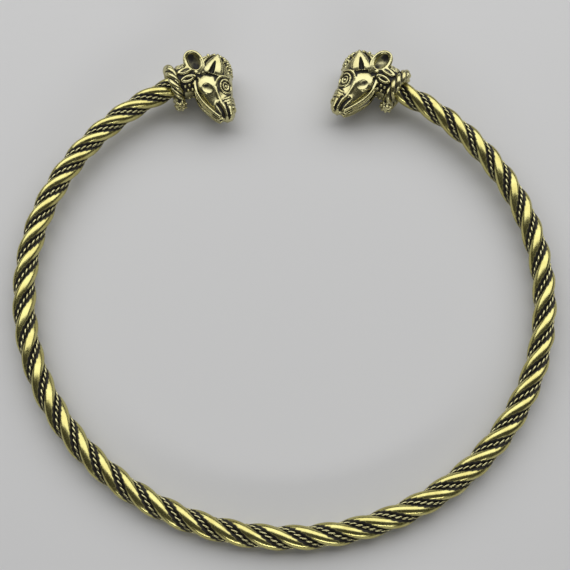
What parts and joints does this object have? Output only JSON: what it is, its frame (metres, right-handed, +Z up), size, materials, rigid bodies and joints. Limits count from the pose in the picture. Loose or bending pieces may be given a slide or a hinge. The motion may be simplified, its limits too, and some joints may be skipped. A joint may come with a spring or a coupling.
{
  "type": "twisted wire torc with animal head terminals",
  "caption": "Open neck ring of twisted wires with thin wire pairs in the grooves and a cast, horned animal head at each end.",
  "frame": {"origin": "on the table under the middle of the bounding box, with the torc lying flat", "axes": "+Z up, +Y from the hoop's closed front towards its opening, +X to the right across the hoop; -Y faces the viewer"},
  "size_m": [0.1382, 0.1336, 0.0121],
  "materials": {
    "wire_brass": "polished gold-coloured wire, darkened in the grooves",
    "pair_brass": "pale twisted wire with black patina around it",
    "cast_brass": "polished casting with black patina in the carving"
  },
  "bodies": {
    "root": {"thick_wire_1": "wire_brass", "thick_wire_2": "wire_brass", "thick_wire_3": "wire_brass", "twisted_pair_1": "pair_brass", "twisted_pair_2": "pair_brass", "twisted_pair_3": "pair_brass", "terminal_left": "cast_brass", "terminal_right": "cast_brass"}
  },
  "joints": []
}
